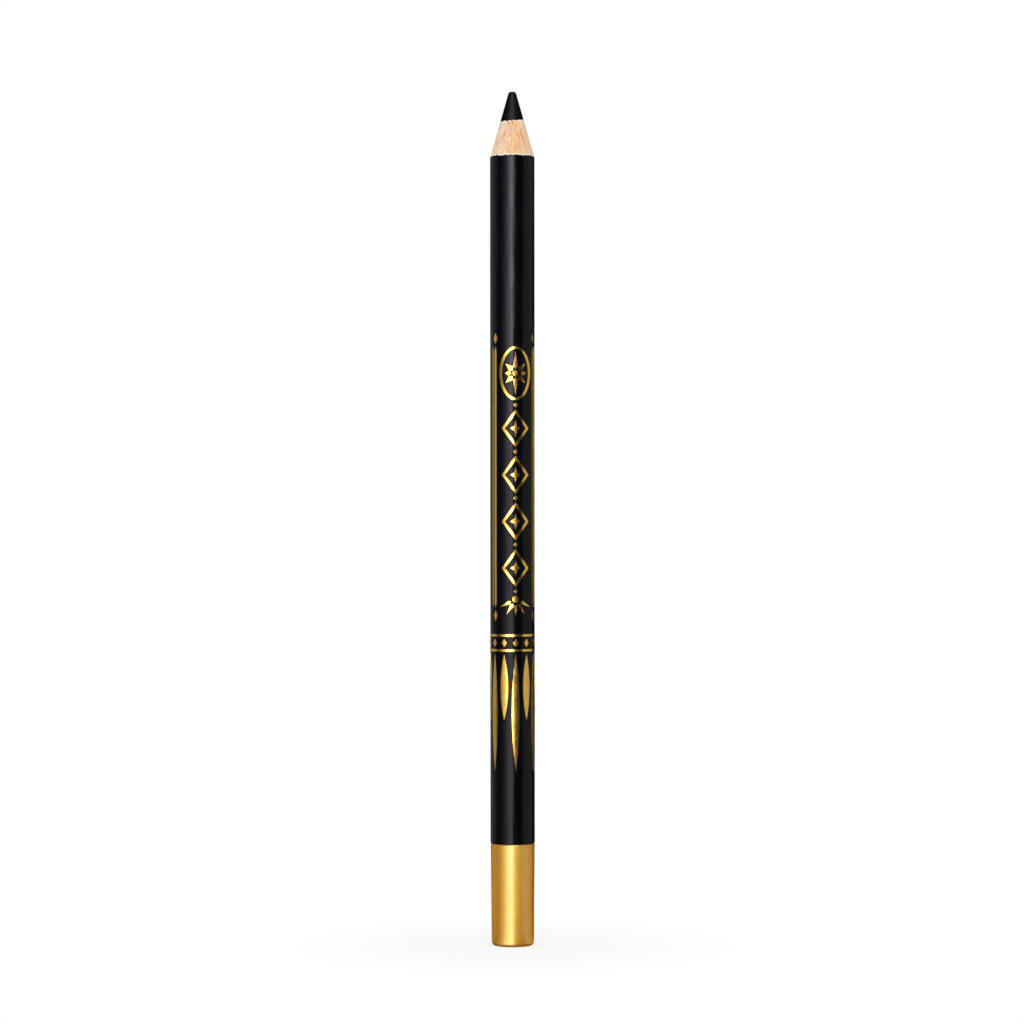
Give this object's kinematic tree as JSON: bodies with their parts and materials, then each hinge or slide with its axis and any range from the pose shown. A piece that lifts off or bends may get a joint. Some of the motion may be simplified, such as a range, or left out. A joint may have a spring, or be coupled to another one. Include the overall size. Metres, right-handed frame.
{
  "type": "eyebrow pencil",
  "caption": "Round wooden eyebrow pencil, sharpened to a black cosmetic lead, with a black lacquered barrel, gold foil ornament and a gold metal end cap.",
  "frame": {"origin": "middle of the end cap's flat foot, the lowest point of the upright pencil", "axes": "+Z runs along the pencil from the end cap to the sharpened point, -Y faces the viewer and +X is to the viewer's right"},
  "size_m": [0.0076, 0.0076, 0.1437],
  "materials": {
    "cosmetic_lead": "satin",
    "casing_wood": "matte",
    "black_lacquer": "gloss",
    "gold_anodised": "satin",
    "gold_foil": "polished"
  },
  "bodies": {
    "root": {"lead_core": "cosmetic_lead", "casing_half_front": "casing_wood", "casing_half_back": "casing_wood", "barrel_lacquer": "black_lacquer", "end_cap": "gold_anodised", "foil_medallion": "gold_foil", "foil_chain": "gold_foil", "foil_pinstripes": "gold_foil", "foil_lozenge_band": "gold_foil", "foil_dart_collar": "gold_foil"}
  },
  "joints": []
}
